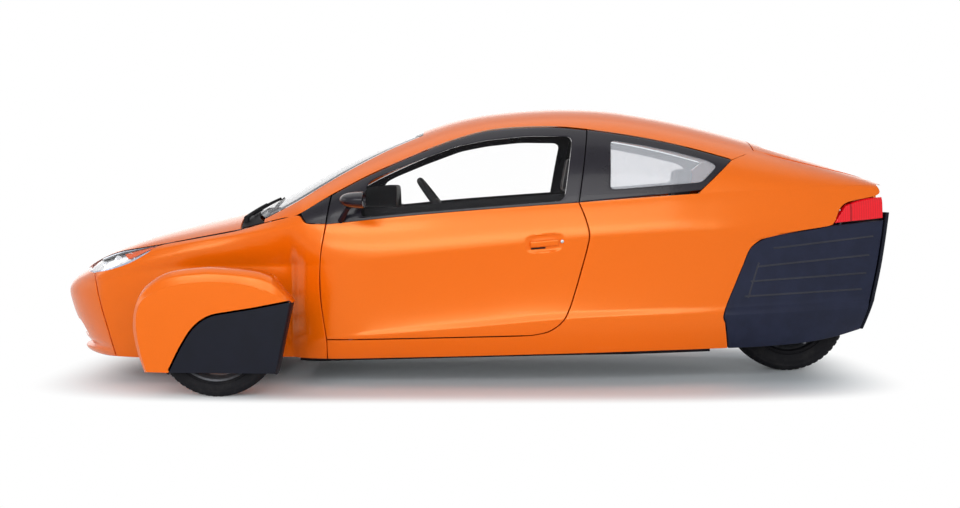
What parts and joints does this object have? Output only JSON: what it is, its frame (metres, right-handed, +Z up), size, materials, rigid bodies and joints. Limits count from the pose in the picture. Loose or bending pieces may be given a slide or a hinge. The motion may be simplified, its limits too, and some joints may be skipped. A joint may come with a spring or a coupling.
{
  "type": "three-wheeled car",
  "caption": "Enclosed three-wheeled car with two steered front wheels in outrigger pods, one rear wheel in a tapered tail, a side door, a hood and a rear hatch.",
  "frame": {"origin": "on the ground and the centre plane, at mid length", "axes": "-X to the nose, -Y to the car's left side, +Z up"},
  "size_m": [4.159, 1.697, 1.3587],
  "materials": {
    "orange_paint": "gloss orange paint",
    "black_plastic": "satin blue-black",
    "rubber": "matt",
    "glass": "clear, lightly tinted",
    "lamp_lens": "clear",
    "lamp_bowl": "silvered",
    "tail_red": "red lens",
    "steel": "satin black",
    "iron": "plain",
    "fabric": "woven",
    "tyre": "matt",
    "rim": "dark satin"
  },
  "bodies": {
    "chassis": {"cabin_tub": "steel", "nose_bumper": "orange_paint", "intake_grille": "black_plastic", "headlamp_lenses": "lamp_lens", "headlamp_bowls": "lamp_bowl", "fenders": "orange_paint", "cowl_panel": "black_plastic", "wipers": "black_plastic", "windshield": "glass", "roof": "orange_paint", "windshield_pillars": "orange_paint", "quarter_panels": "orange_paint", "sills": "orange_paint", "rear_pillars": "orange_paint", "side_panel_right": "orange_paint", "window_surrounds": "black_plastic", "side_glass": "glass", "tail_lamps": "tail_red", "tail_panel": "orange_paint", "seals": "rubber", "rear_claddings": "black_plastic", "rear_valance": "black_plastic", "swing_arm": "steel", "front_arms": "steel", "drive_shafts": "steel", "engine": "iron", "dashboard": "black_plastic", "steering_wheel": "black_plastic", "driver_seat": "fabric", "passenger_seat": "fabric", "mirror_right": "black_plastic"},
    "door": {"door_shell": "orange_paint", "door_window_frame": "black_plastic", "door_glass": "glass", "door_handle": "orange_paint", "mirror_left": "black_plastic"},
    "hood": {"hood": "orange_paint"},
    "hatch": {"hatch_frame": "orange_paint", "hatch_glass": "glass"},
    "steer_left": {"knuckle_left": "steel", "pod_shell_left": "orange_paint", "pod_skirt_left": "black_plastic"},
    "steer_right": {"knuckle_right": "steel", "pod_shell_right": "orange_paint", "pod_skirt_right": "black_plastic"},
    "wheel_front_left": {"front_tyre_left": "tyre", "front_rim_left": "rim"},
    "wheel_front_right": {"front_tyre_right": "tyre", "front_rim_right": "rim"},
    "wheel_rear": {"rear_tyre": "tyre", "rear_rim": "rim"}
  },
  "joints": [
    {"name": "door_hinge", "type": "hinge", "parent": "chassis", "child": "door", "pos_m": [-0.6655, -0.552, 0.5], "axis": [0, 0, -1], "range_deg": [0, 65]},
    {"name": "hood_hinge", "type": "hinge", "parent": "chassis", "child": "hood", "pos_m": [-1.0355, 0, 0.842], "axis": [0, 1, 0], "range_deg": [0, 45]},
    {"name": "hatch_hinge", "type": "hinge", "parent": "chassis", "child": "hatch", "pos_m": [1.4165, 0, 1.199], "axis": [0, -1, 0], "range_deg": [0, 60]},
    {"name": "steer_left", "type": "hinge", "parent": "chassis", "child": "steer_left", "pos_m": [-1.1455, -0.686, 0.28], "axis": [0, 0, 1], "range_deg": [-28, 28]},
    {"name": "steer_right", "type": "hinge", "parent": "chassis", "child": "steer_right", "pos_m": [-1.1455, 0.686, 0.28], "axis": [0, 0, 1], "range_deg": [-28, 28]},
    {"name": "spin_front_left", "type": "hinge", "parent": "steer_left", "child": "wheel_front_left", "pos_m": [-1.1455, -0.72, 0.28], "axis": [0, 1, 0], "continuous": true},
    {"name": "spin_front_right", "type": "hinge", "parent": "steer_right", "child": "wheel_front_right", "pos_m": [-1.1455, 0.72, 0.28], "axis": [0, 1, 0], "continuous": true},
    {"name": "spin_rear", "type": "hinge", "parent": "chassis", "child": "wheel_rear", "pos_m": [1.6645, 0, 0.306], "axis": [0, 1, 0], "continuous": true}
  ],
  "couplings": [
    {"joint": "steer_right", "follows": "steer_left", "ratio": 1}
  ]
}
